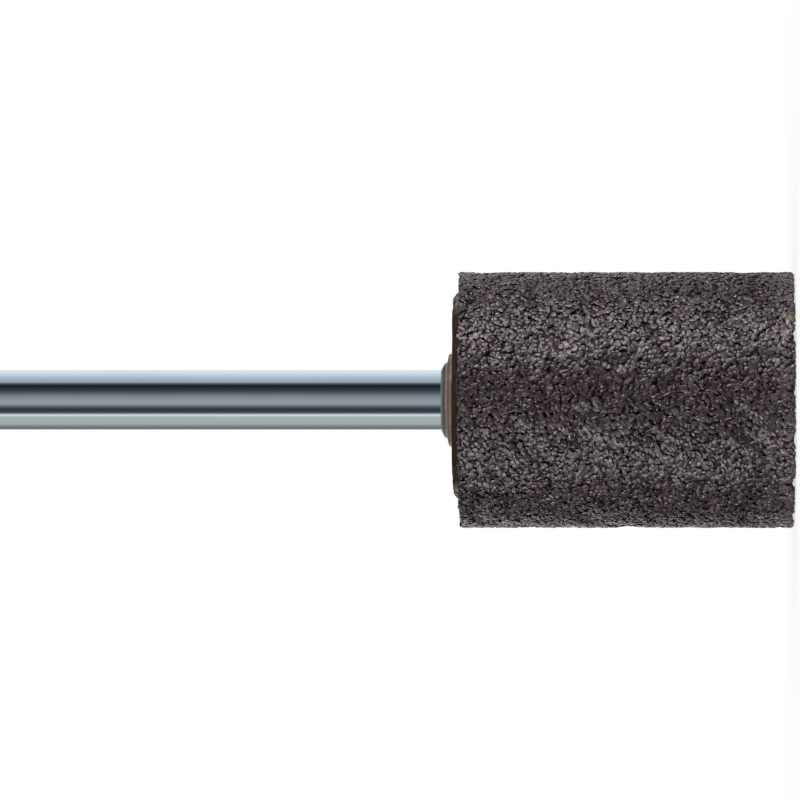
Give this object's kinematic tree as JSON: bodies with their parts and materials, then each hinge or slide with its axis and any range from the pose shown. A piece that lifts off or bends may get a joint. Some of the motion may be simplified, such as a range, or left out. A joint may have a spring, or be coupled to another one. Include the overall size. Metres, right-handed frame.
{
  "type": "mounted point",
  "caption": "Cylindrical bonded abrasive head set on a plain round steel shank with a backing disc and a stepped bond collar, for grinding in a collet-held rotary tool.",
  "frame": {"origin": "centre of the head's flat working end, on the surface that the part stands on", "axes": "+Z along the shank's axis, from the working end towards the shank's free end; the part is round about Z, so X and Y are free"},
  "size_m": [0.026, 0.026, 0.084],
  "materials": {
    "abrasive": "matte",
    "disc": "matte",
    "bond": "satin",
    "steel": "gloss"
  },
  "bodies": {
    "root": {"abrasive_head": "abrasive", "backing_disc": "disc", "bond_collar": "bond", "shank": "steel"}
  },
  "joints": []
}
